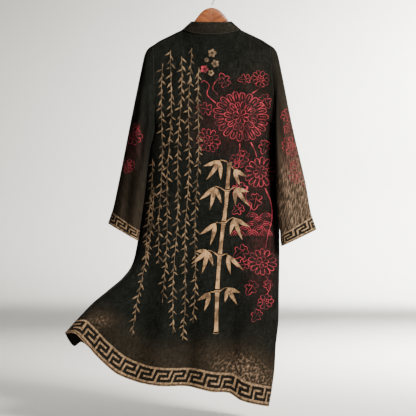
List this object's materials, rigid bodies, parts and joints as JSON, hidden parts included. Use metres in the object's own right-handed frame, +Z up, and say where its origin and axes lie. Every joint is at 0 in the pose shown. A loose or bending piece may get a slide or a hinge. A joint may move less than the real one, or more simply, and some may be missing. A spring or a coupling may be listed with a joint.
{
  "type": "long kimono-style robe on a wooden clothes hanger",
  "caption": "Long open robe of kimono cut with fret-banded hem and cuffs, hanging on a wooden hanger, its left hem blown out and back.",
  "frame": {"origin": "inside top of the hanger's hook, where the rail bears", "axes": "+Z up, +Y out of the wearer's back, +X to the wearer's left"},
  "size_m": [0.8212, 0.236, 1.3831],
  "materials": {
    "robe_linen": "black slub linen, matt, washed out to tan above the hem and on the lower sleeves",
    "fret_band": "woven border, tan key fret on black, worn",
    "hanger_wood": "clear satin lacquer",
    "hook_steel": "bright plated wire"
  },
  "bodies": {
    "root": {"back": "robe_linen", "front_left": "robe_linen", "front_right": "robe_linen", "sleeve_left": "robe_linen", "sleeve_right": "robe_linen", "collar": "robe_linen", "hem_band_back": "fret_band", "hem_band_front_left": "fret_band", "hem_band_front_right": "fret_band", "cuff_band_left": "fret_band", "cuff_band_right": "fret_band", "hanger_arm_left": "hanger_wood", "hanger_arm_right": "hanger_wood", "hanger_hook": "hook_steel"}
  },
  "joints": []
}
